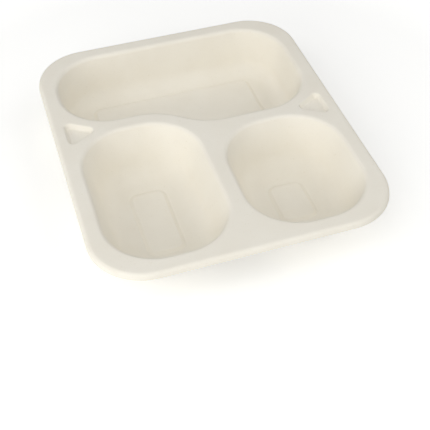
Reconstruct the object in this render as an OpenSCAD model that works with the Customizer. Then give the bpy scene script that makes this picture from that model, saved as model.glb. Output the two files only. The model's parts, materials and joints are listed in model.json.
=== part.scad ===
// Compartment sealing tray, pressed from plant fibre as one sheet of even thickness.
// Sizes are in millimetres. The tray stands on z = 0 and is centred in plan.
// X runs across the tray and Y along it. The widest compartment is at +Y.

/* [Tray] */
// Width over the rim
tray_w = 213; // [195:1:240]
// Length over the rim
tray_l = 250; // [230:1:290]
// Height from the table to the sealing face
tray_h = 38; // [32:1:48]
// Thickness of the pressed fibre
wall = 0.8; // [0.5:0.05:1.2]
// Plan radius of the rim at the outer corners
corner_r = 39; // [28:1:50]

/* [Rim] */
// Radius of the shoulder where the sealing face turns down
shoulder_r = 3; // [2:0.25:5]
// Drop from the sealing face to the trimmed edge
skirt_h = 4.5; // [3.5:0.25:8]
// Outward lean of the skirt from upright, in degrees
skirt_flare = 10; // [2:1:25]
// Distance from the trimmed edge to a compartment mouth
rim_w = 10.3; // [9:0.1:14]

/* [Compartments] */
// Flat width of the lands between the compartments
land_w = 7.6; // [5:0.1:11]
// Place of the cross land along Y at its left end
land_left_y = 24.5; // [12:0.5:35]
// Place of the cross land along Y at its right end
land_right_y = 0.2; // [-12:0.1:6]
// Plan radius of the compartment corners
mouth_r = 40; // [34:1:43]
// Radius of the rolled edge round a mouth
lip_r = 3.5; // [2.5:0.25:5]
// Lean of the walls of the two smaller compartments from upright, in degrees
wall_draft = 20; // [14:1:24]
// Radius between the walls and the floor in the two smaller compartments
floor_r = 18; // [12:0.5:20]
// Lean of the walls of the widest compartment from upright, in degrees
wide_draft = 11; // [8:1:16]
// Radius between the walls and the floor in the widest compartment
wide_floor_r = 13; // [8:0.5:15]

/* [Floor pads] */
// Height of a pad above the floor round it
pad_h = 1.5; // [1.1:0.1:2.5]
// Distance from a long side of a smaller mouth to the pad in its floor
pad_side = 31.5; // [29:0.5:35]
// Distance from an end of a smaller mouth to the pad in its floor
pad_end = 35.5; // [29:0.5:38]
// Distance from a long side of the widest mouth to the pad in its floor
wide_pad_side = 23; // [22:0.5:27]
// Distance from an end of the widest mouth to the pad in its floor
wide_pad_end = 28.5; // [24:0.5:34]
// Plan radius of the pad corners
pad_r = 8; // [6:0.5:9]
// Radius inside the bends of a pad wall
pad_bend_r = 1; // [0.6:0.1:1.4]
// Lean of the pad walls from upright, in degrees
pad_draft = 55; // [40:1:62]

/* [Land pockets] */
// Depth of the three cornered pockets at the ends of the cross land
pocket_d = 3.5; // [2:0.25:5]
// Distance from the trimmed edge to the outer side of a pocket
pocket_set = 8.2; // [7:0.1:11]
// Width of a pocket from its outer side to its point, before rounding
pocket_w = 26.4; // [22:0.1:28]
// Length of the outer side of a pocket, before rounding
pocket_l = 32.5; // [28:0.5:36]
// Plan radius of the pocket corners
pocket_r = 4.8; // [4.4:0.1:6]
// Radius of the soft edges of a pocket
pocket_edge_r = 1.5; // [1.3:0.1:2]
// Lean of the pocket walls from upright, in degrees
pocket_draft = 32; // [20:1:35]

/* [Hidden] */
$fn = 72;
fibre = "#efe8da";

// Flats along an arc of a section
arc_steps = 6;
// Overlap of neighbouring pieces in the flat face that joins them
lap = 1;

// Mouth lines and the two levels of the cross land
half_w = tray_w / 2 - rim_w;
half_l = tray_l / 2 - rim_w;
half_land = land_w / 2;
front_left_y = land_left_y - half_land;
front_right_y = land_right_y - half_land;
back_left_y = land_left_y + half_land;
back_right_y = land_right_y + half_land;
comp_r = min(mouth_r, (half_w - half_land) / 2 - lap);

// The cross land steps from one level to the other in two equal bends with a straight run between.
// The first bend goes round the corner of the left compartment at about the width of the land.
// Both turn by the angle of a 3, 4, 5 triangle, and the run is rounded to a tenth,
// which keeps the ends of the bends on exact coordinates.
bend_cos = 0.8;
bend_sin = 0.6;
bend_rise = 2 * (1 - bend_cos);
land_step = land_left_y - land_right_y;
bend_run = max(0, round(10 * (land_step - (comp_r + land_w) * bend_rise) / bend_sin) / 10);
bend_r = (land_step - bend_run * bend_sin) / bend_rise;
bend_start_x = -half_land - comp_r;
bend_end_x = bend_start_x + 2 * bend_r * bend_sin + bend_run * bend_cos;

// The shoulder turns through this angle, and the skirt goes on straight to the trimmed edge
skirt_lean = 90 - skirt_flare;
skirt_run = (skirt_h - shoulder_r * (1 - cos(skirt_lean))) / sin(skirt_lean);
shoulder_x = shoulder_r * sin(skirt_lean) + skirt_run * cos(skirt_lean);

// Levels of the upper face
floor_z = wall;
pad_z = floor_z + pad_h;
pocket_z = tray_h - pocket_d;

// A hollow is its top and floor levels, its edge radius, its floor radius and its draft.
// The floor radius is held below the one at which the floor would reach the corner centres.
function wall_run(h) = (h[0] - h[1] - (h[2] + h[3]) * (1 - sin(h[4]))) / cos(h[4]);
function floor_inset(h) = (h[2] + h[3]) * cos(h[4]) + wall_run(h) * sin(h[4]);
function with_floor_r(h, r) = [h[0], h[1], h[2], r, h[4]];
function inset_per_r(h) = floor_inset(with_floor_r(h, 1)) - floor_inset(with_floor_r(h, 0));
function floor_r_limit(h, inset) = (inset - floor_inset(with_floor_r(h, 0))) / inset_per_r(h);
function hollow(top, floor, edge_r, r, draft, inset_limit) =
    let (h = [top, floor, edge_r, r, draft])
    with_floor_r(h, min(r, floor_r_limit(h, inset_limit)));

small = hollow(tray_h, floor_z, lip_r, floor_r, wall_draft, comp_r - 2 * lap);
wide = hollow(tray_h, floor_z, lip_r, wide_floor_r, wide_draft, comp_r - 2 * lap);
pocket = hollow(tray_h, pocket_z, pocket_edge_r, pocket_edge_r, pocket_draft, pocket_r - lap / 2);

// A pad stays clear of the foot of the walls round it, by a distance rounded up to a tenth
function clear_of(h, inset) = max(inset, ceil(10 * (floor_inset(h) + 2 * lap)) / 10);

// A pad is a hollow turned over, so it is worked out as one of its height below the floor.
// Its corners are no rounder than the narrowest pad allows.
pad_w = half_w - half_land - 2 * clear_of(small, pad_side);
pad_corner_r = min(pad_r, pad_w / 2 - lap);
pad = hollow(floor_z, floor_z - pad_h, pad_bend_r + wall, pad_bend_r, pad_draft, pad_corner_r - 1.5 * lap);

// Outlines run anticlockwise, and each corner is its x, its y and its radius.
// Those of the compartments are taken at distances dx and dy inside the mouth.
function box_outline(x0, y0, x1, y1, r) = [[x0, y0, r], [x1, y0, r], [x1, y1, r], [x0, y1, r]];
function rim_outline() = box_outline(-tray_w / 2, -tray_l / 2, tray_w / 2, tray_l / 2, corner_r);
function left_outline(dx, dy, r) =
    box_outline(-half_w + dx, -half_l + dy, -half_land - dx, front_left_y - dy, r);
function right_outline(dx, dy, r) =
    box_outline(half_land + dx, -half_l + dy, half_w - dx, front_right_y - dy, r);
function back_outline(dx, dy, r) =
    let (inner_r = max(bend_r - dy, r), outer_r = 2 * bend_r - inner_r, t = bend_sin / (1 + bend_cos))
    [[-half_w + dx, back_left_y + dy, r],
     [bend_start_x + (bend_r + dy) * t, back_left_y + dy, outer_r],
     [bend_end_x - (bend_r - dy) * t, back_right_y + dy, inner_r],
     [half_w - dx, back_right_y + dy, r],
     [half_w - dx, half_l - dy, r],
     [-half_w + dx, half_l - dy, r]];
function pocket_outline(side, y) =
    let (x = tray_w / 2 - pocket_set, s = side * pocket_l / 2)
    [[side * x, y - s, pocket_r], [side * x, y + s, pocket_r], [side * (x - pocket_w), y, pocket_r]];

// The three compartments in the order left, right, back
mouths = [left_outline(0, 0, comp_r), right_outline(0, 0, comp_r), back_outline(0, 0, comp_r)];
hollows = [small, small, wide];
pads = [
    left_outline(clear_of(small, pad_side), clear_of(small, pad_end), pad_corner_r),
    right_outline(clear_of(small, pad_side), clear_of(small, pad_end), pad_corner_r),
    back_outline(clear_of(wide, wide_pad_end), clear_of(wide, wide_pad_side), pad_corner_r)];
pockets = [pocket_outline(-1, land_left_y), pocket_outline(1, land_right_y)];

// Corner geometry of an outline
function xy(c) = [c[0], c[1]];
function left_of(v) = [-v[1], v[0]];
function unit(v) = v / norm(v);
function way_in(o, i) = unit(xy(o[i]) - xy(o[(i + len(o) - 1) % len(o)]));
function way_out(o, i) = unit(xy(o[(i + 1) % len(o)]) - xy(o[i]));
function heading(v) = atan2(v[1], v[0]);
function turn(o, i) =
    let (a = way_in(o, i), b = way_out(o, i))
    atan2(cross(a, b), a * b);
function side_of(o, i) = turn(o, i) > 0 ? 1 : -1;
function corner_cut(o, i) = o[i][2] * tan(abs(turn(o, i)) / 2);
function arc_start(o, i) = xy(o[i]) - way_in(o, i) * corner_cut(o, i);
function arc_end(o, i) = xy(o[i]) + way_out(o, i) * corner_cut(o, i);
function arc_centre(o, i) = arc_start(o, i) + side_of(o, i) * o[i][2] * left_of(way_in(o, i));

// Points along an arc, with its angles measured anticlockwise from straight up
function arc_points(centre, r, from, to) = [
    for (k = [0 : arc_steps])
        let (a = from + (to - from) * k / arc_steps)
        centre + r * [-sin(a), cos(a)]];
// Section points are rounded to a thousandth, so that neighbouring pieces share their edges exactly
function rounded(points) = [for (p = points) [round(p[0] * 1000) / 1000, round(p[1] * 1000) / 1000]];
function backwards(points) = [for (i = [len(points) - 1 : -1 : 0]) points[i]];

// One face of a hollow, from the flat round its mouth over the rolled edge to the end of the foot.
// The upper face has grow at 0, and the underside has grow at the wall.
function face_path(h, grow) =
    let (foot = [floor_inset(h), h[1] + h[3]], lean = 90 - h[4])
    concat(
        [[-lap, h[0] - grow]],
        arc_points([0, h[0] - h[2]], h[2] - grow, 0, -lean),
        arc_points(foot, -h[3] - grow, -lean, 0));

// The pressed sheet from the flat round a hollow down to its floor
module hollow_section(h) {
    end = floor_inset(h) + lap;
    polygon(rounded(concat(
        face_path(h, 0),
        [[end, h[1]], [end, h[1] - wall]],
        backwards(face_path(h, wall)))));
}

// The pressed sheet from the floor up to a pad: a hollow turned over in the thickness of the floor
module raised_section(h) {
    translate([0, 2 * floor_z - wall])
        mirror([0, 1])
            hollow_section(h);
}

// The pressed sheet of the rim: flat face, shoulder, flared skirt and a trimmed edge square to the skirt
module rim_section() {
    centre = [shoulder_x, tray_h - shoulder_r];
    out = [-sin(skirt_lean), cos(skirt_lean)];
    foot = centre + shoulder_r * out + skirt_run * left_of(out);
    polygon(rounded(concat(
        [[shoulder_x + lap, tray_h]],
        arc_points(centre, shoulder_r, 0, skirt_lean),
        [foot, foot - wall * out],
        arc_points(centre, shoulder_r - wall, skirt_lean, 0),
        [[shoulder_x + lap, tray_h - wall]])));
}

// Carries a section round an outline. The section's x is the distance inwards, and its y is the height.
// A bend of less than a quarter turn is a quarter turn from its slanted end, cut off at the other end.
module round_outline(o) {
    for (i = [0 : len(o) - 1]) {
        s = side_of(o, i);
        a = turn(o, i);
        from = heading(way_in(o, i)) - s * 90 + min(a, 0);
        translate(arc_centre(o, i))
            intersection() {
                rotate([0, 0, from])
                    rotate_extrude(angle = 90)
                        translate([o[i][2], 0])
                            mirror([s > 0 ? 1 : 0, 0])
                                children();
                if (abs(a) < 89)
                    rotate([0, 0, from + abs(a)])
                        translate([-tray_l, -tray_l, -tray_h])
                            cube([2 * tray_l, tray_l, 3 * tray_h]);
            }
        run = norm(arc_start(o, (i + 1) % len(o)) - arc_end(o, i));
        if (run > 0.01)
            translate(arc_end(o, i))
                rotate([90, 0, heading(way_out(o, i)) + 90])
                    linear_extrude(run)
                        children();
    }
}

// The area inside an outline at a distance d from it
module middle_of(o, d) {
    corners = [for (i = [0 : len(o) - 1]) i];
    difference() {
        union() {
            polygon([for (i = corners) each [
                arc_start(o, i) + d * left_of(way_in(o, i)),
                arc_end(o, i) + d * left_of(way_out(o, i))]]);
            for (i = corners)
                if (side_of(o, i) > 0)
                    translate(arc_centre(o, i)) circle(o[i][2] - d);
        }
        for (i = corners)
            if (side_of(o, i) < 0)
                translate(arc_centre(o, i)) circle(o[i][2] + d);
    }
}

// A flat of the sheet with its upper face at the level z
module flat(z) {
    translate([0, 0, z - wall])
        linear_extrude(wall)
            children();
}

// Points of an outline moved inwards by the first number of d and up to its second
function ring_points(o, d) = [
    for (i = [0 : len(o) - 1])
        let (from = heading(way_in(o, i)) - 180)
        for (p = arc_points(arc_centre(o, i), o[i][2] - d[0], from, from + turn(o, i)))
            [p[0], p[1], d[1]]];

// A pocket is small and has slanted sides, so its sheet goes through rings of points:
// out from the middle of its floor over the upper face, and back along the underside.
module pocket_sheet(o) {
    path = rounded(concat(backwards(face_path(pocket, 0)), face_path(pocket, wall)));
    n = len(o) * (arc_steps + 1);
    last = len(path) - 1;
    around = [for (i = [0 : n - 1]) i];
    steps = [for (j = [0 : last - 1]) for (i = around) [j * n + i, j * n + (i + 1) % n]];
    polyhedron(
        [for (d = path) each ring_points(o, d)],
        concat(
            [backwards(around), [for (i = around) last * n + i]],
            [for (e = steps) [e[0], e[1], e[0] + n]],
            [for (e = steps) [e[1], e[1] + n, e[0] + n]]));
}

module tray() {
    color(fibre) {
        round_outline(rim_outline()) rim_section();
        flat(tray_h)
            difference() {
                middle_of(rim_outline(), shoulder_x + lap / 2);
                for (o = concat(mouths, pockets))
                    middle_of(o, -lap / 2);
            }
        for (k = [0 : 2]) {
            round_outline(mouths[k]) hollow_section(hollows[k]);
            flat(floor_z)
                difference() {
                    middle_of(mouths[k], floor_inset(hollows[k]) + lap / 2);
                    middle_of(pads[k], -lap / 2);
                }
            round_outline(pads[k]) raised_section(pad);
            flat(pad_z) middle_of(pads[k], floor_inset(pad) + lap / 2);
        }
        for (o = pockets)
            pocket_sheet(o);
    }
}

tray();
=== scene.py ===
import json
import math
import bmesh
import bpy
from mathutils import Matrix, Vector

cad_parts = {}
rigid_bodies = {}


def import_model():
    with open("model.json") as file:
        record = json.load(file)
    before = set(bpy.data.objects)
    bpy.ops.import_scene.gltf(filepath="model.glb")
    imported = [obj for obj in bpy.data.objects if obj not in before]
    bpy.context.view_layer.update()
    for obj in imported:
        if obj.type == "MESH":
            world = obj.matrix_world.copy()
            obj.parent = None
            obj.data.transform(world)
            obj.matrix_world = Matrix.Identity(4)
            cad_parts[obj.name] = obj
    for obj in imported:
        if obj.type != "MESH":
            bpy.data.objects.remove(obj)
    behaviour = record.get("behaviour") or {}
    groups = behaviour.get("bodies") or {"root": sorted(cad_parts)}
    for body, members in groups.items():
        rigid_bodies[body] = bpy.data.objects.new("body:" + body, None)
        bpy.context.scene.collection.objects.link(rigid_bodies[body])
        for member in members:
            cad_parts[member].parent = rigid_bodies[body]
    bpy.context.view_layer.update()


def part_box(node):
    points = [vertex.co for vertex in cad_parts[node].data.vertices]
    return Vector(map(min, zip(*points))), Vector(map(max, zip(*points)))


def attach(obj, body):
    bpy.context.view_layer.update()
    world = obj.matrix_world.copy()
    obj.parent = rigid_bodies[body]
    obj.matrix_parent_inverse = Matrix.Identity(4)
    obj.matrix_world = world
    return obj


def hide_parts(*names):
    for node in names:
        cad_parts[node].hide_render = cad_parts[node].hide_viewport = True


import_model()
mm = 0.001


def toLinear(hexColour):
    channels = [int(hexColour[i:i + 2], 16) / 255 for i in (1, 3, 5)]
    return [c / 12.92 if c <= 0.04045 else ((c + 0.055) / 1.055) ** 2.4 for c in channels] + [1.0]


def addNode(tree, kind, settings=None, links=None):
    node = tree.nodes.new(kind)
    for name, value in (settings or {}).items():
        if name in node.inputs:
            node.inputs[name].default_value = value
        else:
            setattr(node, name, value)
    for name, source in (links or {}).items():
        tree.links.new(source, node.inputs[name])
    return node


def newMaterial(name):
    material = bpy.data.materials.new(name)
    material.use_nodes = True
    material.node_tree.nodes.clear()
    return material


# the tray's sizes in millimetres, as in the part's source but for the softer pad sides;
# the outer size is read from the tray's box in model.glb
lowest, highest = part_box("tray")
trayForm = {
    "width": (highest[0] - lowest[0]) / mm,
    "length": (highest[1] - lowest[1]) / mm,
    "height": highest[2] / mm,
    "sheet": 0.8,
    "cornerRadius": 39,
    "shoulderRadius": 3,
    "skirtDrop": 4.5,
    "skirtFlare": 10,
    "rimWidth": 10.3,
    "landWidth": 7.6,
    "landLeft": 24.5,
    "landRight": 0.2,
    "mouthRadius": 40,
    "lipRadius": 3.5,
    "wallDraft": 20,
    "footRadius": 18,
    "wideDraft": 11,
    "wideFootRadius": 13,
    "padHeight": 1.5,
    "padSide": 31.5,
    "padEnd": 35.5,
    "widePadSide": 23,
    "widePadEnd": 28.5,
    "padRadius": 8,
    "padBend": 1.8,        # a little softer than the source's bends, as pressed pulp comes out
    "padDraft": 60,
    "pocketDepth": 3.5,
    "pocketSet": 8.2,
    "pocketWidth": 26.4,
    "pocketLength": 32.5,
    "pocketRadius": 4.8,
    "pocketEdge": 1.5,
    "pocketDraft": 32,
    "bendCos": 0.8,
    "bendSin": 0.6,
}
trayMesh = {
    "cornerSteps": 20,     # edges round a quarter turn of an outline
    "fewestSteps": 3,      # edges round the smallest turn
    "longestEdge": 5.0,    # straight edges are halved down to this length
    "mostHalvings": 8,
    "arcSteps": 8,         # edges along a rolled edge or a foot
    "wallStep": 6.0,       # about the length of an edge down a wall
    "flatMargin": 0.6,     # narrow flat kept beside each rolled edge
    "sameSpot": 0.01,      # points nearer than this are one
    "smoothAngle": 35,     # degrees
}


def outlines(form):
    # outlines run anticlockwise as x, y and corner radius
    halfWidth = form["width"] / 2 - form["rimWidth"]
    halfLength = form["length"] / 2 - form["rimWidth"]
    halfLand = form["landWidth"] / 2
    step = form["landLeft"] - form["landRight"]
    rise = 2 * (1 - form["bendCos"])
    straight = round((step - (form["mouthRadius"] + form["landWidth"]) * rise) / form["bendSin"], 1)
    bendRadius = (step - straight * form["bendSin"]) / rise
    bendStart = -halfLand - form["mouthRadius"]
    bendEnd = bendStart + 2 * bendRadius * form["bendSin"] + straight * form["bendCos"]
    halfTurn = form["bendSin"] / (1 + form["bendCos"])

    def box(x0, y0, x1, y1, r):
        return [(x0, y0, r), (x1, y0, r), (x1, y1, r), (x0, y1, r)]

    def left(dx, dy, r):
        return box(-halfWidth + dx, -halfLength + dy, -halfLand - dx, form["landLeft"] - halfLand - dy, r)

    def right(dx, dy, r):
        return box(halfLand + dx, -halfLength + dy, halfWidth - dx, form["landRight"] - halfLand - dy, r)

    def back(dx, dy, r):
        inner = max(bendRadius - dy, r)
        low, high = form["landRight"] + halfLand + dy, form["landLeft"] + halfLand + dy
        return [
            (-halfWidth + dx, high, r),
            (bendStart + (bendRadius + dy) * halfTurn, high, 2 * bendRadius - inner),
            (bendEnd - (bendRadius - dy) * halfTurn, low, inner),
            (halfWidth - dx, low, r),
            (halfWidth - dx, halfLength - dy, r),
            (-halfWidth + dx, halfLength - dy, r),
        ]

    def pocket(side, y):
        x = form["width"] / 2 - form["pocketSet"]
        s = side * form["pocketLength"] / 2
        r = form["pocketRadius"]
        return [(side * x, y - s, r), (side * x, y + s, r), (side * (x - form["pocketWidth"]), y, r)]

    rim = box(-form["width"] / 2, -form["length"] / 2, form["width"] / 2, form["length"] / 2,
              form["cornerRadius"])
    margin = trayMesh["flatMargin"]
    mouths = [shape(-margin, -margin, form["mouthRadius"] + margin) for shape in (left, right, back)]
    side, end, radius = form["padSide"] - margin, form["padEnd"] - margin, form["padRadius"] + margin
    pads = [left(side, end, radius), right(side, end, radius),
            back(form["widePadEnd"] - margin, form["widePadSide"] - margin, radius)]
    pockets = [pocket(-1, form["landLeft"]), pocket(1, form["landRight"])]
    return rim, mouths, pads, pockets


def hollowSteps(depth, edgeRadius, footRadius, draft):
    # inward and downward steps from the flat over the rolled edge and down the wall to the floor
    lean = math.radians(90 - draft)
    slope = math.radians(draft)
    wall = (depth - (edgeRadius + footRadius) * (1 - math.sin(slope))) / math.cos(slope)
    count = trayMesh["arcSteps"]
    points = [(edgeRadius * math.sin(lean * k / count), edgeRadius * (1 - math.cos(lean * k / count)))
              for k in range(count + 1)]
    x, z = points[-1]
    wallSteps = max(1, round(wall / trayMesh["wallStep"]))
    for k in range(1, wallSteps + 1):
        points.append((x + wall * math.sin(slope) * k / wallSteps,
                       z + wall * math.cos(slope) * k / wallSteps))
    x, z = points[-1]
    for k in range(1, count + 1):
        a = lean * (1 - k / count)
        points.append((x + footRadius * (math.sin(lean) - math.sin(a)),
                       z + footRadius * (math.cos(a) - math.cos(lean))))
    return [(b[0] - a[0], a[1] - b[1]) for a, b in zip(points, points[1:])]


def rimSteps(form):
    # inward and upward steps from the trimmed edge up the skirt and over the shoulder
    lean = math.radians(90 - form["skirtFlare"])
    r = form["shoulderRadius"]
    run = (form["skirtDrop"] - r * (1 - math.cos(lean))) / math.sin(lean)
    count = trayMesh["arcSteps"]
    steps = [(run * math.cos(lean), run * math.sin(lean))]
    for k in range(count):
        a, b = lean * (1 - k / count), lean * (1 - (k + 1) / count)
        steps.append((r * (math.sin(a) - math.sin(b)), r * (math.cos(b) - math.cos(a))))
    return steps


def editMesh():
    return bmesh.from_edit_mesh(bpy.context.object.data)


def drawOutline(corners, level):
    # one point is carried along the outline: spun round each corner, then extruded to the next one
    count = len(corners)
    arcs = []
    for i, (x, y, r) in enumerate(corners):
        here = Vector((x, y))
        wayIn = (here - Vector(corners[i - 1][:2])).normalized()
        wayOut = (Vector(corners[(i + 1) % count][:2]) - here).normalized()
        turn = math.atan2(wayIn.cross(wayOut), wayIn.dot(wayOut))
        cut = r * math.tan(abs(turn) / 2)
        normal = Vector((-wayIn.y, wayIn.x)) * math.copysign(r, turn)
        arcs.append((here - wayIn * cut, here + wayOut * cut, here - wayIn * cut + normal, turn))
    bpy.ops.mesh.select_all(action="DESELECT")
    start = arcs[0][0] * mm
    bpy.ops.mesh.primitive_plane_add(size=mm, location=(start.x, start.y, level * mm))
    bpy.ops.mesh.merge(type="CENTER")
    for i, (begin, end, centre, turn) in enumerate(arcs):
        steps = max(trayMesh["fewestSteps"], round(trayMesh["cornerSteps"] * abs(turn) / (math.pi / 2)))
        # with no window, spin turns clockwise for a positive angle
        bpy.ops.mesh.spin(steps=steps, angle=-turn, axis=(0, 0, 1),
                          center=(centre.x * mm, centre.y * mm, level * mm))
        run = (arcs[(i + 1) % count][0] - end) * mm
        bpy.ops.mesh.extrude_region_move(TRANSFORM_OT_translate={"value": (run.x, run.y, 0)})
    bpy.ops.mesh.select_linked(delimit=set())
    bpy.ops.mesh.remove_doubles(threshold=trayMesh["sameSpot"] * mm)
    divideLongEdges()
    bpy.ops.mesh.edge_face_add()
    bm = editMesh()
    if any(f.select and f.normal.z < 0 for f in bm.faces):
        bpy.ops.mesh.flip_normals()


def divideLongEdges():
    longest = trayMesh["longestEdge"] * mm
    for i in range(trayMesh["mostHalvings"]):
        bm = editMesh()
        tooLong = [e for e in bm.edges if e.select and e.calc_length() > longest]
        if not tooLong:
            break
        bpy.ops.mesh.select_all(action="DESELECT")
        for e in tooLong:
            e.select_set(True)
        bmesh.update_edit_mesh(bpy.context.object.data)
        bpy.ops.mesh.subdivide(number_cuts=1)
        bpy.ops.mesh.select_linked(delimit=set())


def pressFace(steps):
    # the selected face moves in and down, or up, by each step
    for inward, upward in steps:
        bpy.ops.mesh.inset(thickness=inward * mm, depth=upward * mm, use_even_offset=True)


def fillFlat(level):
    # closes the flat between the open loops at one level
    bpy.ops.mesh.select_all(action="DESELECT")
    bm = editMesh()
    for e in bm.edges:
        if e.is_boundary and all(abs(v.co.z - level * mm) < trayMesh["sameSpot"] * mm for v in e.verts):
            e.select_set(True)
    bmesh.update_edit_mesh(bpy.context.object.data)
    bpy.ops.mesh.fill(use_beauty=True)
    bm = editMesh()
    if sum(f.normal.z for f in bm.faces if f.select) < 0:
        bpy.ops.mesh.flip_normals()


def makeTray(form):
    rim, mouths, pads, pockets = outlines(form)
    margin = trayMesh["flatMargin"]
    top = form["height"]
    floor = form["sheet"]
    bpy.ops.object.select_all(action="DESELECT")
    bpy.ops.mesh.primitive_plane_add(size=mm)
    tray = bpy.context.object
    tray.name = "pressedTray"
    bpy.ops.object.mode_set(mode="EDIT")
    bpy.ops.mesh.delete(type="VERT")

    drawOutline(rim, top - form["skirtDrop"])
    pressFace(rimSteps(form) + [(margin, 0)])
    bpy.ops.mesh.delete(type="ONLY_FACE")
    print("tray: rim and shoulder")

    small = form["footRadius"], form["wallDraft"]
    wide = form["wideFootRadius"], form["wideDraft"]
    for mouth, foot in zip(mouths, (small, small, wide)):
        drawOutline(mouth, top)
        wall = hollowSteps(top - floor, form["lipRadius"], *foot)
        pressFace([(margin, 0)] + wall + [(margin, 0)])
        bpy.ops.mesh.delete(type="ONLY_FACE")
    # a pad is a hollow turned over, so it rises from the floor
    pad = hollowSteps(form["padHeight"], form["padBend"], form["padBend"] + form["sheet"], form["padDraft"])
    for outline in pads:
        drawOutline(outline, floor)
        pressFace([(margin, 0)] + [(inward, -down) for inward, down in pad] + [(margin, 0)])
    print("tray: compartments and pads")

    pocket = hollowSteps(form["pocketDepth"], form["pocketEdge"], form["pocketEdge"], form["pocketDraft"])
    for outline in pockets:
        drawOutline(outline, top)
        pressFace(pocket)
    print("tray: pockets")

    fillFlat(top)
    fillFlat(floor)
    bpy.ops.object.mode_set(mode="OBJECT")
    solidify = tray.modifiers.new("sheet", "SOLIDIFY")
    solidify.thickness = form["sheet"] * mm
    solidify.offset = -1
    solidify.use_even_offset = True
    solidify.use_quality_normals = True
    bpy.ops.object.modifier_apply(modifier=solidify.name)
    bpy.ops.object.shade_smooth_by_angle(angle=math.radians(trayMesh["smoothAngle"]))
    print("tray: sheet of", form["sheet"], "mm,", len(tray.data.polygons), "faces")
    return tray


# pressed sugar cane fibre: matt, warm white, with a soft mottle, fine fibres and a faintly felted face
fibreLook = {
    "pale": "#f8f4e9",
    "deep": "#f1ebdd",
    "fleck": "#e2dac6",
    "roughness": 0.82,
    "refraction": 1.46,
    "mottleSize": 28,      # mm across a cloud of the mottle
    "mottleDetail": 3.0,
    "mottleRoughness": 0.55,
    "fibreSize": 1.1,      # mm between fibres, drawn coarser than the real 0.3 mm so that it shows
    "fibreDetail": 4.0,
    "fibreTwist": 1.5,
    "fleckStart": 0.62,    # level of the fibre noise where a fleck begins
    "fleckFull": 0.75,
    "fleckShare": 0.5,     # most that a fleck takes over
    "feltSize": 2.4,       # mm across a bump of the felted face
    "feltDetail": 5.0,
    "feltRoughness": 0.65,
    "feltHeight": 0.3,     # mm
    "feltStrength": 0.25,
}


def makeFibre(look):
    material = newMaterial("pressedSugarCaneFibre")
    tree = material.node_tree
    place = addNode(tree, "ShaderNodeTexCoord")
    mottle = addNode(tree, "ShaderNodeTexNoise",
                     {"Scale": 1 / (look["mottleSize"] * mm), "Detail": look["mottleDetail"],
                      "Roughness": look["mottleRoughness"]},
                     {"Vector": place.outputs["Object"]})
    body = addNode(tree, "ShaderNodeMix", {"data_type": "RGBA"})
    tree.links.new(mottle.outputs["Fac"], body.inputs["Factor"])
    body.inputs[6].default_value = toLinear(look["pale"])
    body.inputs[7].default_value = toLinear(look["deep"])
    fibres = addNode(tree, "ShaderNodeTexNoise",
                     {"Scale": 1 / (look["fibreSize"] * mm), "Detail": look["fibreDetail"],
                      "Distortion": look["fibreTwist"]},
                     {"Vector": place.outputs["Object"]})
    flecks = addNode(tree, "ShaderNodeMapRange",
                     {"From Min": look["fleckStart"], "From Max": look["fleckFull"],
                      "To Min": 0.0, "To Max": look["fleckShare"]},
                     {"Value": fibres.outputs["Fac"]})
    colour = addNode(tree, "ShaderNodeMix", {"data_type": "RGBA"})
    tree.links.new(flecks.outputs["Result"], colour.inputs["Factor"])
    tree.links.new(body.outputs[2], colour.inputs[6])
    colour.inputs[7].default_value = toLinear(look["fleck"])
    felt = addNode(tree, "ShaderNodeTexNoise",
                   {"Scale": 1 / (look["feltSize"] * mm), "Detail": look["feltDetail"],
                    "Roughness": look["feltRoughness"]},
                   {"Vector": place.outputs["Object"]})
    bump = addNode(tree, "ShaderNodeBump",
                   {"Strength": look["feltStrength"], "Distance": look["feltHeight"] * mm},
                   {"Height": felt.outputs["Fac"]})
    surface = addNode(tree, "ShaderNodeBsdfPrincipled",
                      {"Roughness": look["roughness"], "IOR": look["refraction"]},
                      {"Base Color": colour.outputs[2], "Normal": bump.outputs["Normal"]})
    addNode(tree, "ShaderNodeOutputMaterial", None, {"Surface": surface.outputs["BSDF"]})
    return material


tray = makeTray(trayForm)
tray.data.materials.clear()
tray.data.materials.append(makeFibre(fibreLook))
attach(tray, "root")
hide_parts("tray")

# floor and light, in metres and watts
studio = {
    "floorSize": 6.0,
    "floorDrop": 0.0002,   # keeps the tray's flats out of the floor's plane
    "floorColour": "#f4f4f2",
    "floorLift": 0.32,     # camera only glow that takes the lit floor to white
    "glowStart": 0.25,     # distance from the tray where the glow begins to rise
    "glowFull": 0.9,       # distance from the tray where the floor is plain white
    "ambient": 0.32,
    "aim": (0.0, 0.0, 0.02),
    "lampSize": 0.9,
    "lamps": [
        ("lowFrontLeftLamp", 6.6, (-0.888, -0.888, 0.336)),
        ("highFrontLeftLamp", 3.8, (-0.460, -0.460, 1.126)),
        ("leftLamp", 2.6, (-1.065, 0.0, 0.746)),
        ("frontRightLamp", 1.9, (0.796, -0.796, 0.65)),
        ("rightLamp", 2.5, (0.919, 0.0, 0.919)),
    ],
}


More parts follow.
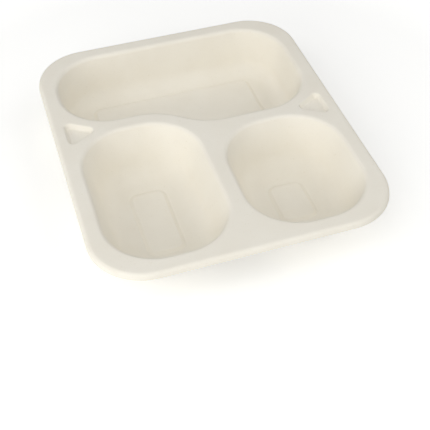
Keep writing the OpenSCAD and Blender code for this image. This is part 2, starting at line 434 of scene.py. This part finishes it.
def makeFloor(settings):
    bpy.ops.object.select_all(action="DESELECT")
    bpy.ops.mesh.primitive_plane_add(size=settings["floorSize"], location=(0, 0, -settings["floorDrop"]))
    floor = bpy.context.object
    floor.name = "studioFloor"
    material = newMaterial("paleStudioFloor")
    tree = material.node_tree
    path = addNode(tree, "ShaderNodeLightPath")
    seen = addNode(tree, "ShaderNodeMath", {"operation": "MAXIMUM"})
    tree.links.new(path.outputs["Is Camera Ray"], seen.inputs[0])
    tree.links.new(path.outputs["Is Glossy Ray"], seen.inputs[1])
    shown = addNode(tree, "ShaderNodeMath", {"operation": "MAXIMUM"})
    tree.links.new(seen.outputs[0], shown.inputs[0])
    tree.links.new(path.outputs["Is Transmission Ray"], shown.inputs[1])
    place = addNode(tree, "ShaderNodeTexCoord")
    away = addNode(tree, "ShaderNodeVectorMath", {"operation": "LENGTH"})
    tree.links.new(place.outputs["Object"], away.inputs[0])
    level = addNode(tree, "ShaderNodeMapRange",
                    {"From Min": settings["glowStart"], "From Max": settings["glowFull"],
                     "To Min": settings["floorLift"], "To Max": 1.0},
                    {"Value": away.outputs["Value"]})
    lift = addNode(tree, "ShaderNodeMath", {"operation": "MULTIPLY"})
    tree.links.new(shown.outputs[0], lift.inputs[0])
    tree.links.new(level.outputs["Result"], lift.inputs[1])
    glow = addNode(tree, "ShaderNodeEmission", None, {"Strength": lift.outputs[0]})
    paint = addNode(tree, "ShaderNodeBsdfDiffuse", {"Color": toLinear(settings["floorColour"])})
    both = addNode(tree, "ShaderNodeAddShader")
    tree.links.new(glow.outputs[0], both.inputs[0])
    tree.links.new(paint.outputs[0], both.inputs[1])
    addNode(tree, "ShaderNodeOutputMaterial", None, {"Surface": both.outputs[0]})
    floor.data.materials.append(material)


def makeLights(settings):
    world = bpy.data.worlds.new("studioWorld")
    bpy.context.scene.world = world
    world.use_nodes = True
    tree = world.node_tree
    tree.nodes.clear()
    path = addNode(tree, "ShaderNodeLightPath")
    level = addNode(tree, "ShaderNodeMapRange",
                    {"To Min": settings["ambient"], "To Max": 1.0},
                    {"Value": path.outputs["Is Camera Ray"]})
    sky = addNode(tree, "ShaderNodeBackground", {"Color": (1, 1, 1, 1)},
                  {"Strength": level.outputs["Result"]})
    addNode(tree, "ShaderNodeOutputWorld", None, {"Surface": sky.outputs[0]})
    for name, power, spot in settings["lamps"]:
        place = Vector(spot)
        bpy.ops.object.light_add(type="AREA", location=place)
        lamp = bpy.context.object
        lamp.name = name
        lamp.data.energy = power
        lamp.data.size = settings["lampSize"]
        lamp.rotation_euler = (Vector(settings["aim"]) - place).to_track_quat("-Z", "Y").to_euler()


# the photo's view, in degrees and metres, with the lens in millimetres
view = {
    "azimuth": -17.5,
    "elevation": 46.35,
    "roll": -0.72,
    "distance": 0.5734,
    "target": (-0.01874, -0.08748, 0.038),
    "lens": 71.93,
    "sensorWidth": 36,
    "nearClip": 0.01,
}


def makeCamera(settings):
    az, el = math.radians(settings["azimuth"]), math.radians(settings["elevation"])
    back = Vector((math.sin(az) * math.cos(el), -math.cos(az) * math.cos(el), math.sin(el)))
    place = Vector(settings["target"]) + back * settings["distance"]
    bpy.ops.object.camera_add(location=place)
    camera = bpy.context.object
    camera.name = "photoCamera"
    camera.data.lens = settings["lens"]
    camera.data.sensor_width = settings["sensorWidth"]
    camera.data.sensor_fit = "HORIZONTAL"
    camera.data.clip_start = settings["nearClip"]
    aim = (-back).to_track_quat("-Z", "Y").to_matrix()
    roll = Matrix.Rotation(math.radians(settings["roll"]), 3, "Z")
    camera.rotation_euler = (aim @ roll).to_euler()
    bpy.context.scene.camera = camera


makeFloor(studio)
makeLights(studio)
makeCamera(view)
bpy.context.scene.view_settings.view_transform = "Standard"
print("scene: floor, lights and camera")
